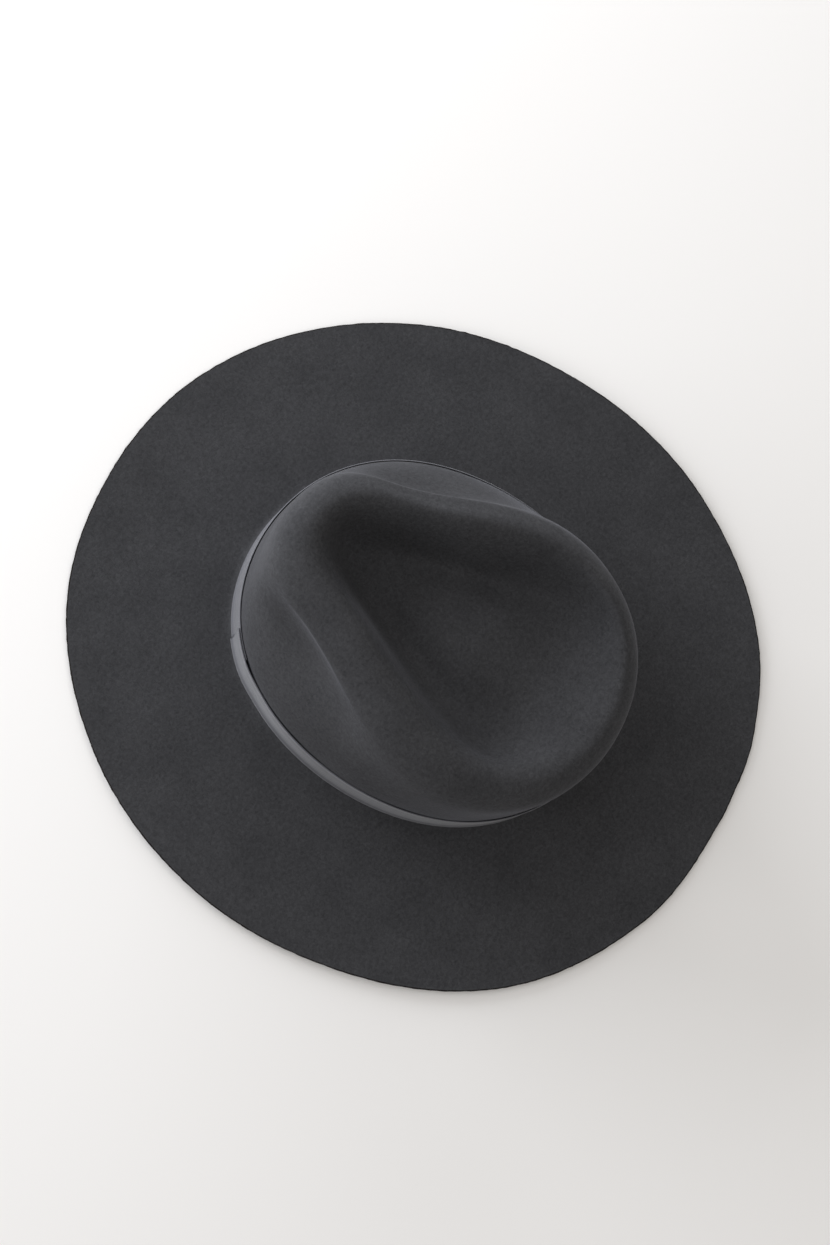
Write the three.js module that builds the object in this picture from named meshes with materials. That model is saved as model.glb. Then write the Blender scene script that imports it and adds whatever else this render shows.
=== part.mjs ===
// A wide-brim fedora of wool felt, with a teardrop crown, two front pinches and a grosgrain ribbon.
// Millimetres, +Z up. The brim rests on z = 0, the front of the hat is -Y, the wearer's left is +X,
// and the origin is the middle of the brim's outline.
// The felt is one solid, blocked from one hood. It is described by its sections: closed plan curves
// from the cut edge of the brim, in over the brim, up the wall, over the crest and down into the
// hollow of the crown. A smooth spline runs through them at every bearing, and the inside of the
// felt lies one felt thickness below.

import * as THREE from 'three';

// Felt
const FELT_THICKNESS = 2.2;
const BEARINGS = 72;
const PRESS_BLEND = 0.5;

// Thumb and finger pinches: the bearing of the deepest place, and how far they run each way
const PINCH_BEARING = 56;
const PINCH_RUN_FRONT = 25;
const PINCH_RUN_BACK = 28.6;

// Ribbon
const RIBBON_FOOT_Z = 6.0;
const RIBBON_TOP_Z = 42.0;
const RIBBON_THICKNESS = 0.55;
const RIBBON_GAP = 0.3;
const RIBBON_ROWS = 4;
const RIBBON_SEAM_BEARING = 35;
const RIBBON_LAP_DEGREES = 10;
const RIBBON_RISE_DEGREES = 12;

// Columns: middle x and y of the section, reach to the front and to the back from there, half its
// width, how much it narrows to the front (0 to 1), how far the pinches push it in, how full its
// four shoulders are, its height at the front, side and back, how far it is turned anticlockwise,
// and how many rings run to the next.
const SECTION_COLUMNS = [
  'name', 'midX', 'midY', 'front', 'back', 'half', 'narrow', 'pinch', 'full',
  'zFront', 'zSide', 'zBack', 'turn', 'rings',
];
const SECTIONS = [
  ['brim edge',    0,    0,  185.4, 185.4, 170.2, 0, 0, 0,       0.9, 5.4, 2.2, 4.2, 1],
  ['brim outer',   0,    0,  169.4, 169.4, 153.4, 0, 0, 0,       1.3, 4.4, 0.9, 4.0, 1],
  ['brim middle',  0,    0,  149, 149, 132, 0, 0, 0,             2.4, 3.7, 0.9, 3.7, 1],
  ['brim inner',   -0.4, 0,  125.5, 125.5, 108.5, 0, 0, 0,       3.6, 3.6, 2.2, 3.2, 1],
  ['brim break',   -0.9, 0,  108.2, 108.5, 92, 0, 0, 0.01,       4.2, 4.0, 3.8, 2.6, 2],
  ['fillet',       -1,   0,  102.6, 102.9, 86.3, 0, 0.6, 0.02,   4.4, 4.3, 4.2, 2.5, 2],
  ['foot',         -1,   0,  101.7, 102.1, 85.4, 0, 1.2, 0.02,   9, 9, 9, 2.5, 1],
  ['ribbon mid',   -1,   0,  100.7, 101.0, 84.7, 0, 1, 0.02,     25, 25, 25, 2.4, 1],
  ['ribbon top',   -0.8, 0,  99.6, 99.8, 83.6, 0, -1.2, 0.02,    42, 42, 42, 1.5, 1],
  ['mid wall',     -0.6, 0,  97.1, 99.2, 80.9, 0.02, 4, 0.02,    60, 59, 58, 0.3, 2],
  ['upper wall',   -1.8, 0,  96.5, 98.4, 82.5, 0.15, 14, 0.02,   80, 78, 74, 0, 2],
  ['crest outer',  -1.8, 1,  95.5, 94.9, 80.5, 0.20, 16, 0.02,   98, 94, 85, 0, 3],
  ['crest top',    -1.8, 2,  90, 87, 72, 0.20, 12.5, 0.02,       104.5, 103.5, 94, 0, 3],
  ['inner lip',    -7.5, 8,  82, 71, 63.5, 0.41, 7, 0.02,        106.5, 107, 91, 0, 2],
  ['hollow wall',  -5.5, 16, 85, 52, 60, 0.62, 1, 0.02,          85, 85, 85, 0, 2],
  ['channel',      -6.8, 16, 68, 38, 46, 0.595, 0, 0.02,         72, 73, 78, 0, 2],
  ['plateau rim',  -6.5, 16, 40, 24, 25, 0.25, 0, 0,             77, 77.5, 79, 0, 1],
  ['plateau',      -6,   16, 22, 14, 14, 0.10, 0, 0,             80, 81, 80.5, 0, 1],
  ['centre',       -6,   16, 0, 0, 0, 0, 0, 0,                   82, 82, 82, 0, 1],
].map((row) => Object.fromEntries(row.map((value, i) => [SECTION_COLUMNS[i], value])));

// How far the cut edge stands out of its oval, in mm, at each bearing in degrees
const BRIM_TRIM = [
  [-175, -2.0], [-163, 0.3], [-147, 2.0], [-118, 0.1], [-88, -1.5], [-62, -0.2], [-20, 0.9],
  [3, 0.1], [24, 1.7], [52, 0.3], [78, -0.4], [98, -0.9], [133, 2.8], [158, 0.5], [178, -2.6],
].map(([bearing, outward]) => ({ bearing, outward }));
const TRIM_FADES_AT = 'brim inner';

// Felt and ribbon finishes
const CHARCOAL_FELT = { name: 'charcoal_felt', color: 0x3f3f43, roughness: 0.95, metalness: 0 };
const GREY_GROSGRAIN = { name: 'grey_grosgrain', color: 0x6f6f76, roughness: 0.7, metalness: 0 };

const radians = (degrees) => degrees * Math.PI / 180;

// A whole turn of degrees brought into -180 to 180
function wrapDegrees(degrees) {
  return ((degrees + 180) % 360 + 360) % 360 - 180;
}

// 0 to 1 with level ends
function smoothStep(t) {
  const s = Math.min(1, Math.max(0, t));
  return s * s * (3 - 2 * s);
}

// The brim's trim at a bearing: between two rows it runs level to level
function trimAt(bearing) {
  const place = wrapDegrees(bearing);
  const last = BRIM_TRIM.length - 1;
  let next = BRIM_TRIM.findIndex((row) => row.bearing >= place);
  if (next < 0) next = 0;
  const before = BRIM_TRIM[next === 0 ? last : next - 1];
  const after = BRIM_TRIM[next];
  const gap = wrapDegrees(after.bearing - before.bearing) || 1;
  const t = wrapDegrees(place - before.bearing) / gap;
  return before.outward + (after.outward - before.outward) * smoothStep(t);
}

// How strongly the pinches act at a bearing: 1 at their deepest place, 0 at the front and back
function pinchAt(bearing) {
  const away = Math.abs(wrapDegrees(bearing)) - PINCH_BEARING;
  const run = away < 0 ? PINCH_RUN_FRONT : PINCH_RUN_BACK;
  const across = Math.sin(radians(bearing)) / Math.sin(radians(PINCH_BEARING));
  return Math.exp(-((away / run) ** 2)) * across;
}

// The point of a section at a bearing, which runs in degrees from the front to the wearer's left:
// a full oval, narrowed to the front, pushed in by the pinches and turned about its middle
function sectionPoint(section, bearing, trimShare) {
  const side = Math.sin(radians(bearing));
  const ahead = Math.cos(radians(bearing));
  const full = 1 + section.full * Math.sin(radians(2 * bearing)) ** 2;
  const reach = (section.front + section.back + (section.front - section.back) * ahead) / 2;
  const narrowing = 1 - section.narrow * (1 + ahead) / 2;
  let x = section.half * side * full * narrowing - section.pinch * pinchAt(bearing);
  let y = -reach * ahead * full;
  const length = Math.hypot(x, y);
  if (trimShare > 0 && length > 0) {
    const grown = 1 + trimShare * trimAt(bearing) / length;
    x *= grown;
    y *= grown;
  }
  const turn = radians(section.turn);
  const level = (section.zFront + section.zBack) / 2;
  const fall = (section.zFront - section.zBack) / 2;
  return new THREE.Vector3(
    section.midX + x * Math.cos(turn) - y * Math.sin(turn),
    section.midY + x * Math.sin(turn) + y * Math.cos(turn),
    section.zSide + (level - section.zSide) * ahead ** 2 + fall * ahead,
  );
}

// The share of the trim that a section takes: all at the cut edge, none where it fades out
function trimShareOf(index) {
  const fade = SECTIONS.findIndex((section) => section.name === TRIM_FADES_AT);
  return Math.max(0, 1 - index / fade);
}

// The sections' points at one bearing, with one more at each end so that the spline reaches them.
// Past the centre the spline goes on to the far side of the plateau.
function controlPoints(bearing) {
  const points = SECTIONS.map((section, i) => sectionPoint(section, bearing, trimShareOf(i)));
  const beyondEdge = points[0].clone().multiplyScalar(2).sub(points[1]);
  const farSide = sectionPoint(SECTIONS[SECTIONS.length - 2], bearing + 180, 0);
  return [beyondEdge, ...points, farSide];
}

// Uniform cubic B-spline through four neighbouring control points
function splinePoint(control, place) {
  const from = Math.min(Math.floor(place), control.length - 4);
  const t = place - from;
  const weights = [
    (1 - t) ** 3 / 6,
    (3 * t ** 3 - 6 * t ** 2 + 4) / 6,
    (-3 * t ** 3 + 3 * t ** 2 + 3 * t + 1) / 6,
    t ** 3 / 6,
  ];
  const point = new THREE.Vector3();
  weights.forEach((weight, i) => point.addScaledVector(control[from + i], weight));
  return point;
}

// What the table under the hat does to a height above it: exactly level where the felt would go
// through, and a smooth blend beside it
function pressed(height) {
  if (height <= 0) return 0;
  if (height < 2 * PRESS_BLEND) return height ** 2 / (4 * PRESS_BLEND);
  return height - PRESS_BLEND;
}

// Outer felt surface at a place along the sections (0 is the cut edge) and a bearing
function feltPoint(place, bearing) {
  const point = splinePoint(controlPoints(bearing), place);
  point.z = FELT_THICKNESS + pressed(point.z - FELT_THICKNESS + PRESS_BLEND);
  return point;
}

// The places of the rings, from the cut edge to the last ring before the centre
function ringPlaces() {
  const places = [];
  for (let i = 0; i < SECTIONS.length - 1; i += 1) {
    for (let j = 0; j < SECTIONS[i].rings; j += 1) places.push(i + j / SECTIONS[i].rings);
  }
  return places;
}

// The outward normal of the felt at a ring and bearing, from its four neighbours on the grid
function gridNormal(rings, i, j) {
  const count = rings[i].length;
  const along = rings[Math.min(i + 1, rings.length - 1)][j].clone();
  along.sub(rings[Math.max(i - 1, 0)][j]);
  const around = rings[i][(j + 1) % count].clone().sub(rings[i][(j + count - 1) % count]);
  return around.cross(along).normalize();
}

// The triangles between neighbouring rings of a closed sheet, facing up and out, or turned over
function ringFaces(ringCount, count, offset, turnedOver) {
  const faces = [];
  for (let i = 0; i < ringCount - 1; i += 1) {
    for (let j = 0; j < count; j += 1) {
      const a = offset + i * count + j;
      const b = offset + i * count + (j + 1) % count;
      const c = b + count;
      const d = a + count;
      if (turnedOver) faces.push(a, c, b, a, d, c);
      else faces.push(a, b, c, a, c, d);
    }
  }
  return faces;
}

function meshOf(name, points, faces, finish) {
  const geometry = new THREE.BufferGeometry();
  const values = points.flatMap((point) => [point.x, point.y, point.z]);
  geometry.setAttribute('position', new THREE.Float32BufferAttribute(values, 3));
  geometry.setIndex(faces);
  geometry.computeVertexNormals();
  const mesh = new THREE.Mesh(geometry, new THREE.MeshStandardMaterial(finish));
  mesh.name = name;
  return mesh;
}

// Crown and brim: the outer surface, the inner one a felt thickness below, and the raw cut edge
// between them. The centre of the crown closes in one point on each side.
function feltBody() {
  const places = ringPlaces();
  const brimPlace = SECTIONS.findIndex((section) => section.name === 'brim break');
  const rings = places.map((place) => Array.from(
    { length: BEARINGS },
    (_, j) => feltPoint(place, j * 360 / BEARINGS),
  ));
  const inner = rings.map((ring, i) => ring.map((point, j) => {
    if (places[i] < brimPlace) return point.clone().setZ(point.z - FELT_THICKNESS);
    const below = point.clone().addScaledVector(gridNormal(rings, i, j), -FELT_THICKNESS);
    return below.setZ(Math.max(below.z, 0));
  }));
  const top = feltPoint(SECTIONS.length - 1, 0);
  const underTop = top.clone().setZ(top.z - FELT_THICKNESS);

  const count = rings.length * BEARINGS;
  const lastRing = (rings.length - 1) * BEARINGS;
  const points = [...rings.flat(), ...inner.flat(), top, underTop];
  const faces = [
    ...ringFaces(rings.length, BEARINGS, 0, false),
    ...ringFaces(rings.length, BEARINGS, count, true),
  ];
  for (let j = 0; j < BEARINGS; j += 1) {
    const next = (j + 1) % BEARINGS;
    faces.push(lastRing + j, lastRing + next, 2 * count);
    faces.push(count + lastRing + next, count + lastRing + j, 2 * count + 1);
    faces.push(j, count + j, count + next, j, count + next, next);
  }
  return meshOf('felt_body', points, faces, CHARCOAL_FELT);
}

// The wall's outer surface at a height and bearing, found between the fillet and the mid wall
function wallPoint(height, bearing) {
  const control = controlPoints(bearing);
  let low = SECTIONS.findIndex((section) => section.name === 'fillet');
  let high = SECTIONS.findIndex((section) => section.name === 'mid wall');
  for (let i = 0; i < 40; i += 1) {
    const middle = (low + high) / 2;
    if (splinePoint(control, middle).z < height) low = middle;
    else high = middle;
  }
  return splinePoint(control, low);
}

// The level direction out of the wall at a height and bearing
function wallOutward(height, bearing) {
  const ahead = wallPoint(height, bearing + 1);
  const behind = wallPoint(height, bearing - 1);
  return new THREE.Vector3(ahead.y - behind.y, behind.x - ahead.x, 0).normalize();
}

// Grosgrain ribbon: one strip, clockwise round the foot of the crown. It starts under its own end,
// and over the last degrees before the seam it rises to lie on top of its start.
function ribbonBand() {
  const step = 360 / BEARINGS;
  const lapSteps = RIBBON_LAP_DEGREES / step;
  const stations = Array.from({ length: BEARINGS + lapSteps + 1 }, (_, k) => k * step);
  const overlap = RIBBON_THICKNESS + RIBBON_GAP;
  const points = [];
  stations.forEach((travel) => {
    const bearing = RIBBON_SEAM_BEARING + RIBBON_LAP_DEGREES - travel;
    const rise = smoothStep((travel - 360 + RIBBON_RISE_DEGREES) / RIBBON_RISE_DEGREES);
    const inside = RIBBON_GAP + rise * overlap;
    for (let row = 0; row <= RIBBON_ROWS; row += 1) {
      const height = RIBBON_FOOT_Z + (RIBBON_TOP_Z - RIBBON_FOOT_Z) * row / RIBBON_ROWS;
      const wall = wallPoint(height, bearing);
      const outward = wallOutward(height, bearing);
      points.push(wall.clone().addScaledVector(outward, inside));
      points.push(wall.clone().addScaledVector(outward, inside + RIBBON_THICKNESS));
    }
  });
  return meshOf('ribbon_band', points, stripFaces(stations.length, RIBBON_ROWS), GREY_GROSGRAIN);
}

// The triangles of a thick open strip that runs clockwise. Each station has its points in pairs,
// inside then outside, from the foot to the top.
function stripFaces(stationCount, rows) {
  const perStation = 2 * (rows + 1);
  const faces = [];
  const quad = (a, b, c, d) => faces.push(a, c, b, a, d, c);
  for (let k = 0; k < stationCount - 1; k += 1) {
    const here = k * perStation;
    const there = here + perStation;
    for (let row = 0; row < rows; row += 1) {
      const low = 2 * row;
      const high = low + 2;
      quad(here + low + 1, there + low + 1, there + high + 1, here + high + 1);
      quad(here + low, here + high, there + high, there + low);
    }
    quad(here, there, there + 1, here + 1);
    quad(here + 2 * rows, here + 2 * rows + 1, there + 2 * rows + 1, there + 2 * rows);
  }
  const last = (stationCount - 1) * perStation;
  for (let row = 0; row < rows; row += 1) {
    const low = 2 * row;
    quad(low, low + 1, low + 3, low + 2);
    quad(last + low, last + low + 2, last + low + 3, last + low + 1);
  }
  return faces;
}

const hat = new THREE.Group();
hat.name = 'wide_brim_fedora';
hat.add(feltBody(), ribbonBand());

// The sections are drawn about the head; the origin goes to the middle of the brim's outline
const outlineMiddle = new THREE.Box3().setFromObject(hat).getCenter(new THREE.Vector3());
hat.position.set(-outlineMiddle.x, -outlineMiddle.y, 0);

export default hat;
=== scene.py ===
# %% [markdown]
# # A wide-brim fedora of wool felt
#
# The hat is one hood of wool felt, steamed and pulled over a block. Its crown is pressed into a
# teardrop with two pinches at the front, its brim is flat and cut raw, and a grosgrain ribbon runs
# round the foot of the crown. It lies on its brim, as a hat does on a shelf.
#
# Everything here is in metres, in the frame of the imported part: the front of the hat is -Y, the
# wearer's left is +X, and z = 0 is the table.

import bpy
import numpy as np
from mathutils import Matrix, Vector


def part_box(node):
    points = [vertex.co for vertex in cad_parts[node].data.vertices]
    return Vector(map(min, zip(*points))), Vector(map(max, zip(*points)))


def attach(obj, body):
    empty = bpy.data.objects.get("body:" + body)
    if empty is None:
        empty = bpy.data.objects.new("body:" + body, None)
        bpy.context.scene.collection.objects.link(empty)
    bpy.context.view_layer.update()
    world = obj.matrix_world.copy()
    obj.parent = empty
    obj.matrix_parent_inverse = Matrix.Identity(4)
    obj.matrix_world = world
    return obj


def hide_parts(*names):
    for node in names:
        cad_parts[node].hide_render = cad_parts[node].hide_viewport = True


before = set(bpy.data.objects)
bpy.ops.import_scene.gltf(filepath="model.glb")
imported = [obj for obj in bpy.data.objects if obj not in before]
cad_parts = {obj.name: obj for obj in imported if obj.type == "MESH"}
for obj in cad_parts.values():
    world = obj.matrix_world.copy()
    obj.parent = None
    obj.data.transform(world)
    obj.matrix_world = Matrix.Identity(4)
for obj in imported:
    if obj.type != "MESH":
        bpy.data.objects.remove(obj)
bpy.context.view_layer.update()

MM = 0.001
felt_low, felt_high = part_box("felt_body")

# %% [markdown]
# ## The shape of the felt
#
# A hood has no seam and no thickness to speak of, so its shape is one smooth surface. It could be
# sculpted, or subdivided from a coarse cage. Here it is written down the way a hatter thinks of
# it: as closed curves, one inside the other, from the cut edge over the brim, up the wall, over
# the crest and down into the hollow. A cubic spline joins them at every bearing. That keeps the
# numbers few, and the solid part and this surface come from the same table.

# %% The sections, in millimetres and degrees
# Middle of the curve, its reach to the front and back, half its width, how much it narrows to the
# front, how far the pinches push it in, how full its four shoulders are, its height at front, side
# and back, how far it is turned anticlockwise, and how many rings are drawn up to the next one.
SECTION_COLUMNS = (
    "name", "mid_x", "mid_y", "front", "back", "half", "narrow", "pinch", "full",
    "z_front", "z_side", "z_back", "turn", "rings",
)
SECTIONS = (
    ("brim edge",    0,    0,  185.4, 185.4, 170.2, 0, 0, 0,       0.9, 5.4, 2.2, 4.2, 6),
    ("brim outer",   0,    0,  169.4, 169.4, 153.4, 0, 0, 0,       1.3, 4.4, 0.9, 4.0, 6),
    ("brim middle",  0,    0,  149, 149, 132, 0, 0, 0,             2.4, 3.7, 0.9, 3.7, 6),
    ("brim inner",   -0.4, 0,  125.5, 125.5, 108.5, 0, 0, 0,       3.6, 3.6, 2.2, 3.2, 5),
    ("brim break",   -0.9, 0,  108.2, 108.5, 92, 0, 0, 0.01,       4.2, 4.0, 3.8, 2.6, 5),
    ("fillet",       -1,   0,  102.6, 102.9, 86.3, 0, 0.6, 0.02,   4.4, 4.3, 4.2, 2.5, 5),
    ("foot",         -1,   0,  101.7, 102.1, 85.4, 0, 1.2, 0.02,   9, 9, 9, 2.5, 4),
    ("ribbon mid",   -1,   0,  100.7, 101.0, 84.7, 0, 1, 0.02,     25, 25, 25, 2.4, 4),
    ("ribbon top",   -0.8, 0,  99.6, 99.8, 83.6, 0, -1.2, 0.02,    42, 42, 42, 1.5, 5),
    ("mid wall",     -0.6, 0,  97.1, 99.2, 80.9, 0.02, 4, 0.02,    60, 59, 58, 0.3, 6),
    ("upper wall",   -1.8, 0,  96.5, 98.4, 82.5, 0.15, 14, 0.02,   80, 78, 74, 0, 8),
    ("crest outer",  -1.8, 1,  95.5, 94.9, 80.5, 0.20, 16, 0.02,   98, 94, 85, 0, 10),
    ("crest top",    -1.8, 2,  90, 87, 72, 0.20, 12.5, 0.02,       104.5, 103.5, 94, 0, 10),
    ("inner lip",    -7.5, 8,  82, 71, 63.5, 0.41, 7, 0.02,        106.5, 107, 91, 0, 8),
    ("hollow wall",  -5.5, 16, 85, 52, 60, 0.62, 1, 0.02,          85, 85, 85, 0, 7),
    ("channel",      -6.8, 16, 68, 38, 46, 0.595, 0, 0.02,         72, 73, 78, 0, 6),
    ("plateau rim",  -6.5, 16, 40, 24, 25, 0.25, 0, 0,             77, 77.5, 79, 0, 5),
    ("plateau",      -6,   16, 22, 14, 14, 0.10, 0, 0,             80, 81, 80.5, 0, 5),
    ("centre",       -6,   16, 0, 0, 0, 0, 0, 0,                   82, 82, 82, 0, 0),
)
NAMES = [row[0] for row in SECTIONS]
COLUMN = {
    name: np.array([row[i] for row in SECTIONS], float)[:, None]
    for i, name in enumerate(SECTION_COLUMNS) if name != "name"
}

FELT_THICKNESS = 2.2
PINCH_BEARING, PINCH_RUN_FRONT, PINCH_RUN_BACK = 56, 25, 28.6
PRESS_BLEND = 0.5

# How far the cut edge stands out of its oval at each bearing: hand-cut felt is never quite round
BRIM_TRIM = np.array([
    (-175, -2.0), (-163, 0.3), (-147, 2.0), (-118, 0.1), (-88, -1.5), (-62, -0.2), (-20, 0.9),
    (3, 0.1), (24, 1.7), (52, 0.3), (78, -0.4), (98, -0.9), (133, 2.8), (158, 0.5), (178, -2.6),
])
TRIM_SHARE = np.clip(1 - np.arange(len(NAMES)) / NAMES.index("brim inner"), 0, 1)[:, None]
print(len(SECTIONS), "sections,", len(BRIM_TRIM), "trim marks")


# %% Bearings: the trim of the edge and the two pinches
def wrapped(degrees):
    """A whole turn brought into -180 to 180."""
    return (degrees + 180) % 360 - 180


def smooth_step(t):
    """Rises from 0 to 1 with level ends: three t squared less two t cubed."""
    t = np.clip(t, 0, 1)
    return t * t * (3 - 2 * t)


def trim_at(bearing):
    """The edge's trim: level at each mark, and a smooth step from one mark to the next."""
    marks, outward = BRIM_TRIM.T
    place = wrapped(bearing)
    after = np.searchsorted(marks, place) % len(marks)
    before = after - 1
    gap = wrapped(marks[after] - marks[before])
    rise = smooth_step(wrapped(place - marks[before]) / gap)
    return outward[before] + (outward[after] - outward[before]) * rise


def pinch_at(bearing):
    """One finger's dent: a bell over the bearing, longer to the front, times the sine of the
    bearing, so that both dents mirror each other and the front stays put."""
    away = np.abs(wrapped(bearing)) - PINCH_BEARING
    run = np.where(away < 0, PINCH_RUN_FRONT, PINCH_RUN_BACK)
    across = np.sin(np.radians(bearing)) / np.sin(np.radians(PINCH_BEARING))
    return np.exp(-((away / run) ** 2)) * across


# %% The sections at every bearing, and the spline through them
def section_points(bearing):
    """All sections at all bearings: an oval, a little full at its four shoulders, narrowed to the
    front, pushed in by the pinches, trimmed at the edge and turned about its middle. Its height
    goes from front to side to back with the square and the first power of the cosine."""
    c = COLUMN
    side, ahead = np.sin(np.radians(bearing)), np.cos(np.radians(bearing))
    full = 1 + c["full"] * np.sin(np.radians(2 * bearing)) ** 2
    reach = (c["front"] + c["back"] + (c["front"] - c["back"]) * ahead) / 2
    x = c["half"] * side * full * (1 - c["narrow"] * (1 + ahead) / 2)
    x = x - c["pinch"] * pinch_at(bearing)
    y = -reach * ahead * full
    grown = 1 + TRIM_SHARE * trim_at(bearing) / np.maximum(np.hypot(x, y), 1)
    x, y = x * grown, y * grown
    cos, sin = np.cos(np.radians(c["turn"])), np.sin(np.radians(c["turn"]))
    level, fall = (c["z_front"] + c["z_back"]) / 2, (c["z_front"] - c["z_back"]) / 2
    z = c["z_side"] + (level - c["z_side"]) * ahead**2 + fall * ahead
    return np.stack([c["mid_x"] + x * cos - y * sin, c["mid_y"] + x * sin + y * cos, z], -1)


def spline_points(places, bearing):
    """Uniform cubic B-spline over the sections. A place is a section's number and the share of
    the way to the next. The ends are carried on: past the edge by mirroring, past the centre by
    the far side of the plateau."""
    points = section_points(bearing)
    beyond = 2 * points[:1] - points[1:2]
    far_side = section_points(bearing + 180)[-2:-1]
    control = np.concatenate([beyond, points, far_side])
    first = np.minimum(np.floor(places).astype(int), len(control) - 4)
    t = (places - first)[..., None]
    across = np.arange(len(bearing))
    p0, p1, p2, p3 = (control[first + k, across] for k in range(4))
    return (
        p0 * (1 - t) ** 3
        + p1 * (3 * t**3 - 6 * t**2 + 4)
        + p2 * (-3 * t**3 + 3 * t**2 + 3 * t + 1)
        + p3 * t**3
    ) / 6


def pressed(height):
    """What the table does to the brim's underside: exactly level where the felt would sink in,
    a parabola beside it, and unchanged above."""
    blend = height**2 / (4 * PRESS_BLEND)
    above = np.where(height < 2 * PRESS_BLEND, blend, height - PRESS_BLEND)
    return np.where(height <= 0, 0, above)


def felt_top(places, bearing):
    """The outer felt surface, as an array of places by bearings by three."""
    points = spline_points(places, bearing)
    points[..., 2] = FELT_THICKNESS + pressed(points[..., 2] - FELT_THICKNESS + PRESS_BLEND)
    return points


BEARINGS = 432
bearing = np.arange(BEARINGS) * 360 / BEARINGS
rings_to_next = [int(row[-1]) for row in SECTIONS]
places = np.concatenate([i + np.arange(n) / n for i, n in enumerate(rings_to_next) if n])

# One more ring close behind the rim, so that the dark of the cut ends there
RIM_PLACE = 0.045
places = np.insert(places, 1, RIM_PLACE)
top = felt_top(np.repeat(places[:, None], BEARINGS, 1), bearing)
print("outer surface", top.shape, "height", round(float(top[..., 2].max()), 1), "mm")

# %% [markdown]
# ## Hand work and thickness
#
# Felt that was steamed and pressed by hand is never quite true: the brim rolls by a fraction of a
# millimetre and the crown has faint flats. A few long waves do that. Where fingers pinched the
# crown, each dent is a little deeper in its middle and the felt is drawn up into a narrow ridge
# along it. The inside is the same surface one felt thickness in, and the raw edge is cut square
# and has worn a little round, so its corners are short arcs.


# %% Long, faint unevenness
HIGHEST_SUM = 1.6


def uneven(points, length, count, seed):
    """A sum of waves in many directions through space, each with its own phase, and with lengths
    near the one asked for. Over the root of their count it reaches about HIGHEST_SUM, so the
    result is about 1 at its highest."""
    draw = np.random.default_rng(seed)
    way = draw.normal(size=(count, 3))
    way /= np.linalg.norm(way, axis=1, keepdims=True)
    way *= 2 * np.pi / (length * draw.uniform(0.7, 1.5, (count, 1)))
    phase = draw.uniform(0, 2 * np.pi, count)
    return np.sin(points @ way.T + phase).sum(-1) / np.sqrt(count) / HIGHEST_SUM


def grid_normals(points):
    """Outward normals of a ring grid: the cross product of the steps along and round it."""
    along = np.gradient(points, axis=0)
    around = np.roll(points, -1, 1) - np.roll(points, 1, 1)
    normal = np.cross(around, along)
    return normal / np.maximum(np.linalg.norm(normal, axis=-1, keepdims=True), 1e-9)


# How high the waves are, how long, and how many of them, in millimetres
ROLL_HEIGHT, ROLL_LENGTH, ROLL_WAVES = 0.35, 150, 14
FLATS_HEIGHT, FLATS_LENGTH, FLATS_WAVES = 0.3, 45, 18
# The table holds the brim still below this height, and it rolls freely above twice as much
HELD_HEIGHT = 3
# The brim's waves give way to the crown's over this many sections
WAVE_CHANGE = 2
# Places are section numbers, as above
RIDGE_HEIGHT, RIDGE_PLACE, RIDGE_WIDTH = 2.0, 11.45, 0.35
DENT_DEPTH, DENT_PLACE, DENT_WIDTH = 3.0, 10.2, 0.65

on_crown = smooth_step((places - NAMES.index("brim break")) / WAVE_CHANGE)[:, None]
free = (1 - on_crown) * smooth_step(top[..., 2] / HELD_HEIGHT - 1)
roll = ROLL_HEIGHT * uneven(top, ROLL_LENGTH, ROLL_WAVES, seed=3) * free
flats = FLATS_HEIGHT * uneven(top, FLATS_LENGTH, FLATS_WAVES, seed=5) * on_crown
ridge = RIDGE_HEIGHT * np.exp(-(((places - RIDGE_PLACE) / RIDGE_WIDTH) ** 2))
dent = DENT_DEPTH * np.exp(-(((places - DENT_PLACE) / DENT_WIDTH) ** 2))
pinched = (ridge - dent)[:, None] * np.abs(pinch_at(bearing))
top = top + grid_normals(top) * (roll + flats + pinched)[..., None]
top[..., 2] = np.maximum(top[..., 2], FELT_THICKNESS)
print("unevenness", round(float(np.abs(roll + flats).max()), 2), "mm at most")


# %% The underside and the raw edge
def cut_edge(rim, outward, corner, bend_steps):
    """The cut edge seen in section: a quarter circle at the top corner, a straight cut, and a
    quarter circle at the bottom corner, as rings from the top surface to the underside."""
    turn = np.linspace(np.pi / 2, 0, bend_steps)
    turn = np.concatenate([turn, -turn[::-1]])[:, None, None]
    middle = rim - corner * outward - np.array([0, 0, FELT_THICKNESS / 2])
    half = FELT_THICKNESS / 2 - corner
    rise = np.sign(turn) * half + corner * np.sin(turn)
    rise[bend_steps - 1], rise[bend_steps] = half, -half
    return middle + corner * np.cos(turn) * outward + rise * np.array([0, 0, 1.0])


CORNER, CORNER_STEPS, RAGGED = 0.55, 4, 0.10
is_brim = (places < NAMES.index("brim break"))[:, None, None]
straight_down = top - np.array([0, 0, FELT_THICKNESS])
along_normal = top - FELT_THICKNESS * grid_normals(top)
under = np.where(is_brim, straight_down, along_normal)
under[..., 2] = np.maximum(under[..., 2], 0)

rim = top[0]
round_rim = np.roll(rim, -1, 0) - np.roll(rim, 1, 0)
outward = np.stack([round_rim[:, 1], -round_rim[:, 0], np.zeros(BEARINGS)], -1)
outward /= np.linalg.norm(outward, axis=1, keepdims=True)
ragged = RAGGED * np.random.default_rng(11).normal(size=(2 * CORNER_STEPS, BEARINGS, 1))
edge = cut_edge(rim, outward, CORNER, CORNER_STEPS) + ragged * outward
edge[..., 2] = np.maximum(edge[..., 2], 0)
print("edge", edge.shape, "round", round(float(np.linalg.norm(round_rim, axis=1).sum() / 2)), "mm")

# %% [markdown]
# ## From arrays to a mesh
#
# The felt is one closed skin: rings from the middle of the crown out to the brim, round the cut
# edge, and back underneath to the middle. Each end of the tube of rings closes on one point.


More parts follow.
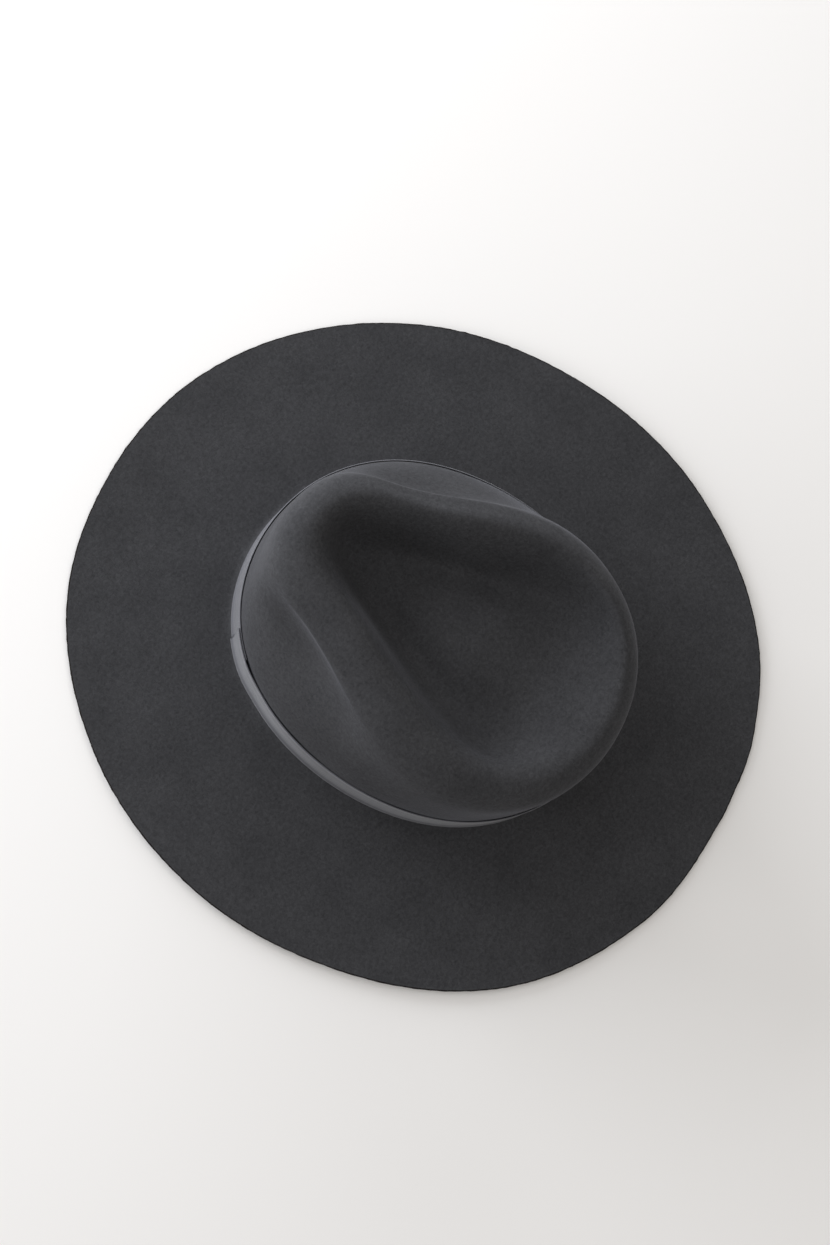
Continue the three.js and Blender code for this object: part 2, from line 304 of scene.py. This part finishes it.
# %% Ring grids into Blender
def link_mesh(name, points, quads, fans):
    """Points in millimetres, quads and triangles by point number, into a smooth-shaded object at
    the origin, moved from the hat block's middle to the part's origin."""
    mesh = bpy.data.meshes.new(name)
    mesh.vertices.add(len(points))
    mesh.vertices.foreach_set("co", ((points + BLOCK_TO_PART) * MM).astype(np.float32).ravel())
    corners = np.concatenate([quads.ravel(), fans.ravel()])
    sizes = np.concatenate([np.full(len(quads), 4), np.full(len(fans), 3)])
    mesh.loops.add(len(corners))
    mesh.loops.foreach_set("vertex_index", corners.astype(np.int32))
    mesh.polygons.add(len(sizes))
    starts = np.concatenate([[0], np.cumsum(sizes)[:-1]])
    mesh.polygons.foreach_set("loop_start", starts.astype(np.int32))
    mesh.polygons.foreach_set("use_smooth", np.ones(len(sizes), bool))
    mesh.update(calc_edges=True)
    mesh.validate()
    obj = bpy.data.objects.new(name, mesh)
    bpy.context.scene.collection.objects.link(obj)
    return obj


def ring_quads(ring_count, around):
    """Quads between neighbouring closed rings, numbered ring by ring."""
    ring, j = np.meshgrid(np.arange(ring_count - 1), np.arange(around), indexing="ij")
    here, beside = ring * around + j, ring * around + (j + 1) % around
    return np.stack([here, here + around, beside + around, beside], -1).reshape(-1, 4)


def triangles_of(obj):
    """How many triangles the mesh draws."""
    obj.data.calc_loop_triangles()
    return len(obj.data.loop_triangles)


def volume_of(obj):
    """Cubic centimetres inside a closed mesh: a sixth of the sum of a . (b x c) over its
    triangles. It is above zero where the faces look outward."""
    triangles_of(obj)
    spots = np.zeros(len(obj.data.vertices) * 3, np.float32)
    obj.data.vertices.foreach_get("co", spots)
    corners = np.zeros(len(obj.data.loop_triangles) * 3, np.int32)
    obj.data.loop_triangles.foreach_get("vertices", corners)
    a, b, c = spots.reshape(-1, 3).astype(float)[corners.reshape(-1, 3)].transpose(1, 0, 2)
    return round(float((a * np.cross(b, c)).sum() / 6 * 1e6), 1)


own_middle = (top[0].min(0) + top[0].max(0)) / 2
cad_middle = np.array((felt_low + felt_high) / 2) / MM
BLOCK_TO_PART = np.array([*(cad_middle - own_middle)[:2], 0])

middle_top = felt_top(np.array([[len(NAMES) - 1.0]]), np.array([0.0]))[0, 0]
middle_top[2] = top[-1, :, 2].mean()
rings = np.concatenate([top[:0:-1], edge, under[1:]])
skin = np.concatenate([rings.reshape(-1, 3), [middle_top, middle_top - [0, 0, FELT_THICKNESS]]])
j = np.arange(BEARINGS)
last = (len(rings) - 1) * BEARINGS
fans = np.concatenate([
    np.stack([np.full(BEARINGS, len(skin) - 2), j, (j + 1) % BEARINGS], -1),
    np.stack([last + (j + 1) % BEARINGS, last + j, np.full(BEARINGS, len(skin) - 1)], -1),
])
felt = link_mesh("felt_crown_and_brim", skin, ring_quads(len(rings), BEARINGS), fans)

# A mark on the rings of the cut edge, for the felt's material to read
ring_number = np.minimum(np.arange(len(skin)) // BEARINGS, len(rings))
is_cut = (ring_number >= len(top) - 1) & (ring_number < len(top) - 1 + len(edge))
cut = felt.data.attributes.new("raw_cut", "FLOAT", "POINT")
cut.data.foreach_set("value", is_cut.astype(np.float32))
print(felt.name, triangles_of(felt), "triangles,", volume_of(felt), "cubic centimetres,",
      "moved by", BLOCK_TO_PART.round(2), "mm")

# %% [markdown]
# ## The grosgrain ribbon
#
# Grosgrain is a ribbed ribbon: fine warp threads wrap round thick weft cords, so ribs run across
# its width, and each edge ends in a firm selvedge where the cords turn back. The hatter shrinks
# it to the crown with an iron, so it lies on the wall without a wrinkle and laps over its own
# start. Here one cross-section of the ribbon is carried round the wall of the crown, and the ribs
# are in the mesh: they are what gives the ribbon its fine, even sparkle.

# %% Where the wall is, and which way it faces
RIBBON_FOOT_Z, RIBBON_TOP_Z = 6.0, 42.0
RIBBON_GAP, RIBBON_THICKNESS = 0.3, 0.55
RIBBON_SEAM_BEARING, RIBBON_LAP_DEGREES, RIBBON_RISE_DEGREES = 35, 10, 12
RIB_PITCH, RIB_HEIGHT, STEPS_A_RIB = 1.0, 0.16, 4
RIBBON_FLARE = 0.1
HALVINGS = 40


def wall_points(height, bearing):
    """The wall at each height and bearing, by halving the stretch between the fillet and the mid
    wall again and again."""
    low = np.full(height.shape, float(NAMES.index("fillet")))
    high = np.full(height.shape, float(NAMES.index("mid wall")))
    for _ in range(HALVINGS):
        middle = (low + high) / 2
        under_it = spline_points(middle, bearing)[..., 2] < height
        low, high = np.where(under_it, middle, low), np.where(under_it, high, middle)
    return spline_points(low, bearing)


def wall_outward(height, bearing):
    """The level direction out of the wall: its run round the crown, turned a quarter."""
    run = wall_points(height, bearing + 1) - wall_points(height, bearing - 1)
    out = np.stack([run[..., 1], -run[..., 0], np.zeros(height.shape)], -1)
    return out / np.linalg.norm(out, axis=-1, keepdims=True)


whole_turn = np.arange(361.0)
mid_height = np.full((1, len(whole_turn)), (RIBBON_FOOT_Z + RIBBON_TOP_Z) / 2)
round_wall = wall_points(mid_height, whole_turn)[0]
wall_girth = float(np.linalg.norm(np.diff(round_wall, axis=0), axis=1).sum())
print("the wall under the ribbon is", round(wall_girth), "mm round")

# %% The cross-section, and its way round
ribs = round(wall_girth * (360 + RIBBON_LAP_DEGREES) / 360 / RIB_PITCH)
stations = ribs * STEPS_A_RIB + 1
travel = np.linspace(0, 360 + RIBBON_LAP_DEGREES, stations)
ribbon_bearing = RIBBON_SEAM_BEARING + RIBBON_LAP_DEGREES - travel
lift = smooth_step((travel - 360 + RIBBON_RISE_DEGREES) / RIBBON_RISE_DEGREES)
lift = lift * (RIBBON_THICKNESS + RIBBON_GAP)

# Share of the height, share of the thickness, and share of the ribs' relief, foot to top and back
PROFILE = np.array([
    (0.000, 0.55, 0.3), (0.006, 1.00, 0.6), (0.025, 1.25, 1.0), (0.048, 0.80, 1.0),
    (0.20, 0.84, 1.0), (0.35, 0.84, 1.0), (0.50, 0.84, 1.0), (0.65, 0.84, 1.0),
    (0.80, 0.84, 1.0), (0.952, 0.80, 1.0), (0.975, 1.25, 1.0), (0.994, 1.00, 0.6),
    (1.000, 0.55, 0.3), (0.994, 0.12, 0.0), (0.95, 0.0, 0.0), (0.50, 0.0, 0.0),
    (0.05, 0.0, 0.0), (0.006, 0.12, 0.0),
])
MIDDLE_ROW = 6
share_up, share_out, share_rib = PROFILE.T
rib = 0.5 - 0.5 * np.cos(2 * np.pi * np.arange(stations) / STEPS_A_RIB)
height = RIBBON_FOOT_Z + (RIBBON_TOP_Z - RIBBON_FOOT_Z) * np.repeat(share_up[:, None], stations, 1)
off_wall = RIBBON_GAP + RIBBON_THICKNESS * share_out[:, None] + lift
off_wall = off_wall + RIBBON_FLARE * share_up[:, None] ** 3
off_wall = off_wall + RIB_HEIGHT * (rib - 0.5) * share_rib[:, None]
way_out = wall_outward(height, ribbon_bearing)
ribbon_points = wall_points(height, ribbon_bearing) + way_out * off_wall[..., None]
print(ribs, "ribs,", stations, "stations")

# %% The ribbon's mesh, with its own map of lengths and heights
loop = np.transpose(ribbon_points, (1, 0, 2))
n = len(PROFILE)
quads = ring_quads(stations, n)[:, ::-1]
centres = loop[[0, -1]].mean(1)
count = stations * n
k = np.arange(n)
caps = np.concatenate([
    np.stack([np.full(n, count), (k + 1) % n, k], -1),
    np.stack([count - n + k, count - n + (k + 1) % n, np.full(n, count + 1)], -1),
])
ribbon = link_mesh("grosgrain_band", np.concatenate([loop.reshape(-1, 3), centres]), quads, caps)
along = np.concatenate([[0], np.cumsum(np.linalg.norm(np.diff(loop[:, MIDDLE_ROW], axis=0), axis=1))])
across = np.cumsum(np.concatenate([[0], np.linalg.norm(np.diff(loop[0], axis=0), axis=1)]))
corner_point = np.zeros(len(ribbon.data.loops), np.int32)
ribbon.data.loops.foreach_get("vertex_index", corner_point)
station, row = np.divmod(np.minimum(corner_point, count - 1), n)
flat_map = np.stack([along[station], across[row]], -1) * MM
ribbon.data.uv_layers.new(name="cloth").data.foreach_set("uv", flat_map.astype(np.float32).ravel())
rib_feet = loop[::STEPS_A_RIB, MIDDLE_ROW]
ribbon_length = float(np.linalg.norm(np.diff(rib_feet, axis=0), axis=1).sum()) * MM
print(ribbon.name, triangles_of(ribbon), "triangles,", volume_of(ribbon),
      "cubic centimetres,", round(ribbon_length, 3), "m long")

# %% [markdown]
# ## Materials
#
# Each finish is built from nodes. Lengths are given in millimetres and turned into the pattern's
# scale, so a fibre is a fibre's width whatever the size of the piece.


# %% Colours, and one helper for nodes
def linear(hex_colour):
    """sRGB hex to linear light, the form that shaders work in."""
    value = np.array([int(hex_colour[i:i + 2], 16) for i in (1, 3, 5)]) / 255
    value = np.where(value <= 0.04045, value / 12.92, ((value + 0.055) / 1.055) ** 2.4)
    return (*value.tolist(), 1.0)


def add_node(material, kind, settings=(), links=()):
    """Adds a node. Settings are attributes by name or sockets by name; links are (socket, source
    node, source socket)."""
    node = material.node_tree.nodes.new(kind)
    for name, value in dict(settings).items():
        if hasattr(node, name):
            setattr(node, name, value)
        else:
            node.inputs[name].default_value = value
    for socket, source, output in links:
        material.node_tree.links.new(source.outputs[output], node.inputs[socket])
    return node


def new_material(name):
    """An empty node material and its output."""
    material = bpy.data.materials.new(name)
    material.use_nodes = True
    material.node_tree.nodes.clear()
    return material, add_node(material, "ShaderNodeOutputMaterial")


def per_metre(millimetres):
    """The scale at which a noise's grain is about that many millimetres."""
    return 1000 / millimetres


# A colour mix's sockets have to be named by number: the two colours that go in, and the result
COLOUR_A, COLOUR_B, MIXED = 6, 7, 2


# %% [markdown]
# Wool felt, brushed. Scales of wool lock into a dense mat with no weave, and a brush raises a
# short nap. So it is dull, with no highlight, but its raised fibres catch light edge on: that is
# the pale bloom along the crests and round the crown. Close up it is a fine fibrous grain with
# slow clouds of a slightly different shade, where the dye took unevenly. The cut edge is coloured
# darker, a thin dark line round the rim.

# %% Brushed wool felt
wool, wool_out = new_material("brushed_wool_felt")
place = add_node(wool, "ShaderNodeTexCoord")
clouds = add_node(wool, "ShaderNodeTexNoise",
                  {"Scale": per_metre(28), "Detail": 3.0, "Roughness": 0.55},
                  [("Vector", place, "Object")])
grain = add_node(wool, "ShaderNodeTexNoise",
                 {"Scale": per_metre(1.8), "Detail": 5.0, "Roughness": 0.8, "Distortion": 0.6},
                 [("Vector", place, "Object")])
shade = add_node(wool, "ShaderNodeValToRGB", {}, [("Fac", clouds, "Fac")])
shade.color_ramp.elements[0].position, shade.color_ramp.elements[1].position = 0.3, 0.7
shade.color_ramp.elements[0].color = linear("#353537")
shade.color_ramp.elements[1].color = linear("#3b3b3d")
speck = add_node(wool, "ShaderNodeMapRange",
                 {"From Min": 0.25, "From Max": 0.75, "To Min": 0.56, "To Max": 1.44},
                 [("Value", grain, "Fac")])
tone = add_node(wool, "ShaderNodeMix",
                {"data_type": "RGBA", "blend_type": "MULTIPLY", "Factor": 1.0})
wool.node_tree.links.new(shade.outputs["Color"], tone.inputs[COLOUR_A])
wool.node_tree.links.new(speck.outputs["Result"], tone.inputs[COLOUR_B])
nap = add_node(wool, "ShaderNodeBump", {"Strength": 0.5, "Distance": 0.25 * MM},
               [("Height", grain, "Fac")])
wool_shader = add_node(wool, "ShaderNodeBsdfPrincipled",
                       {"Roughness": 0.95, "IOR": 1.5, "Specular IOR Level": 0.15,
                        "Sheen Weight": 0.2, "Sheen Roughness": 0.27,
                        "Sheen Tint": linear("#b9bac4")},
                       [("Normal", nap, "Normal")])
raw = add_node(wool, "ShaderNodeAttribute", {"attribute_name": "raw_cut"})
# The rings of the cut edge are coloured darker than the top, fading out at the ring behind the rim
cut_darkened_tone = add_node(wool, "ShaderNodeMix", {"data_type": "RGBA"}, [("Factor", raw, "Fac")])
wool.node_tree.links.new(tone.outputs[MIXED], cut_darkened_tone.inputs[COLOUR_A])
cut_darkened_tone.inputs[COLOUR_B].default_value = linear("#1c1917")
wool.node_tree.links.new(cut_darkened_tone.outputs[MIXED], wool_shader.inputs["Base Color"])
wool.node_tree.links.new(wool_shader.outputs["BSDF"], wool_out.inputs["Surface"])
felt.data.materials.append(wool)
print("felt in", wool.name, "with", len(wool.node_tree.nodes), "nodes")

# %% [markdown]
# Cotton grosgrain. Mercerised cotton has a soft shine along its threads, so the ribbon is a shade
# brighter than the felt and has a low, wide highlight. The ribs are in the mesh; the material
# adds the warp threads that cross them, and a faint change of shade from cord to cord.

# %% Cotton grosgrain
cotton, cotton_out = new_material("cotton_grosgrain")
cloth = add_node(cotton, "ShaderNodeUVMap", {"uv_map": "cloth"})
threads = add_node(cotton, "ShaderNodeTexNoise",
                   {"Scale": per_metre(0.9), "Detail": 2.0, "Roughness": 0.6},
                   [("Vector", cloth, "UV")])
cords = add_node(cotton, "ShaderNodeMapping", {"Scale": (1.0, 0.02, 1.0)},
                 [("Vector", cloth, "UV")])
cord_shade = add_node(cotton, "ShaderNodeTexNoise",
                      {"Scale": per_metre(2.0), "Detail": 2.0, "Roughness": 0.6},
                      [("Vector", cords, "Vector")])
yarn = add_node(cotton, "ShaderNodeMix", {"data_type": "RGBA"}, [("Factor", cord_shade, "Fac")])
yarn.inputs[COLOUR_A].default_value = linear("#46464b")
yarn.inputs[COLOUR_B].default_value = linear("#55555b")
weave = add_node(cotton, "ShaderNodeBump", {"Strength": 0.4, "Distance": 0.1 * MM},
                 [("Height", threads, "Fac")])
cotton_shader = add_node(cotton, "ShaderNodeBsdfPrincipled",
                         {"Roughness": 0.6, "IOR": 1.5, "Specular IOR Level": 0.4,
                          "Sheen Weight": 0.3, "Sheen Roughness": 0.4},
                         [("Normal", weave, "Normal")])
cotton.node_tree.links.new(yarn.outputs[MIXED], cotton_shader.inputs["Base Color"])
cotton.node_tree.links.new(cotton_shader.outputs["BSDF"], cotton_out.inputs["Surface"])
ribbon.data.materials.append(cotton)
print("ribbon in", cotton.name, "with", len(cotton.node_tree.nodes), "nodes")

# %% [markdown]
# ## What stands for what
#
# Both pieces ride on the part's one body. Each replaces the plain solid of the same thing, which
# stays in the simulation.

# %% Riding and replacing
for piece, node, slot in ((felt, "felt_body", "felt"), (ribbon, "ribbon_band", "ribbon")):
    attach(piece, "root")
    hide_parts(node)
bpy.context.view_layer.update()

# %% [markdown]
# ## Table, light and camera
#
# The table is a plain pale board. Daylight comes in low from a row of windows at the left and
# upper left of the picture, a far wall sends a little of it back, and the pale room fills the
# rest. The camera hangs over the hat and looks down a little askew.

# %% The table
board, board_out = new_material("pale_matt_board")
board_shader = add_node(board, "ShaderNodeBsdfPrincipled",
                        {"Base Color": linear("#f2f0ee"), "Roughness": 0.8,
                         "Specular IOR Level": 0.2})
board.node_tree.links.new(board_shader.outputs["BSDF"], board_out.inputs["Surface"])
TABLE_HALF = 4.0
table_mesh = bpy.data.meshes.new("table")
table_mesh.from_pydata([(-TABLE_HALF, -TABLE_HALF, 0), (TABLE_HALF, -TABLE_HALF, 0),
                        (TABLE_HALF, TABLE_HALF, 0), (-TABLE_HALF, TABLE_HALF, 0)],
                       [], [(0, 1, 2, 3)])
table = bpy.data.objects.new("table", table_mesh)
table_mesh.materials.append(board)
bpy.context.scene.collection.objects.link(table)

# %% The windows and the room
PICTURE_LEFT = np.array([0.565, -0.825])
PICTURE_UP = np.array([-0.816, -0.578])
LAMP_DISTANCE, LAMP_SIZE = 1.6, 1.0

# Name, azimuth from the picture's left towards its top, elevation, power in watts, colour
LAMPS = (
    ("window_left",       -5, 12, 10.0, (0.92, 0.95, 1.0)),
    ("window_low",        42, 12, 35.0, (0.92, 0.95, 1.0)),
    ("window_high",       30, 55, 3.0, (0.93, 0.96, 1.0)),
    ("side_window",       90, 12, 11.0, (0.93, 0.96, 1.0)),
    ("far_wall",         180, 60, 2.0, (1.0, 0.96, 0.91)),
)


def add_lamp(name, azimuth, elevation, power, colour):
    """A square area light at an azimuth and an elevation round the picture, turned to the hat."""
    data = bpy.data.lights.new(name, "AREA")
    data.size, data.energy, data.color = LAMP_SIZE, power, colour
    round_it, rise = np.radians(azimuth), np.radians(elevation)
    way = np.cos(round_it) * PICTURE_LEFT + np.sin(round_it) * PICTURE_UP
    spot = Vector((*(way * np.cos(rise)), np.sin(rise))) * LAMP_DISTANCE
    light = bpy.data.objects.new(name, data)
    light.location = spot
    light.rotation_euler = (-spot).to_track_quat("-Z", "Y").to_euler()
    bpy.context.scene.collection.objects.link(light)
    return light


for lamp in LAMPS:
    add_lamp(*lamp)
room = bpy.data.worlds.new("pale_room")
room.use_nodes = True
room.node_tree.nodes["Background"].inputs["Color"].default_value = (1.0, 0.978, 0.95, 1.0)
room.node_tree.nodes["Background"].inputs["Strength"].default_value = 0.50
bpy.context.scene.world = room

# %% The camera
CAMERA_SPOT = Vector((0.1486, -0.0548, 0.8926))
CAMERA_RIGHT = Vector((-0.5596, 0.8170, 0.1394))
CAMERA_LOOK = Vector((-0.1742, 0.0485, -0.9835)).normalized()
camera_right = (CAMERA_RIGHT - CAMERA_RIGHT.dot(CAMERA_LOOK) * CAMERA_LOOK).normalized()
camera_up = camera_right.cross(CAMERA_LOOK)
camera_data = bpy.data.cameras.new("over_the_hat")
camera_data.lens, camera_data.sensor_width = 50, 36
camera = bpy.data.objects.new("over_the_hat", camera_data)
turn = Matrix((camera_right, camera_up, -CAMERA_LOOK)).transposed()
camera_spot = CAMERA_SPOT + Vector(BLOCK_TO_PART * MM)
camera.matrix_world = Matrix.Translation(camera_spot) @ turn.to_4x4()
bpy.context.scene.collection.objects.link(camera)
bpy.context.scene.camera = camera
bpy.context.scene.view_settings.view_transform = "Standard"
print("camera at", [round(v, 3) for v in camera.location])
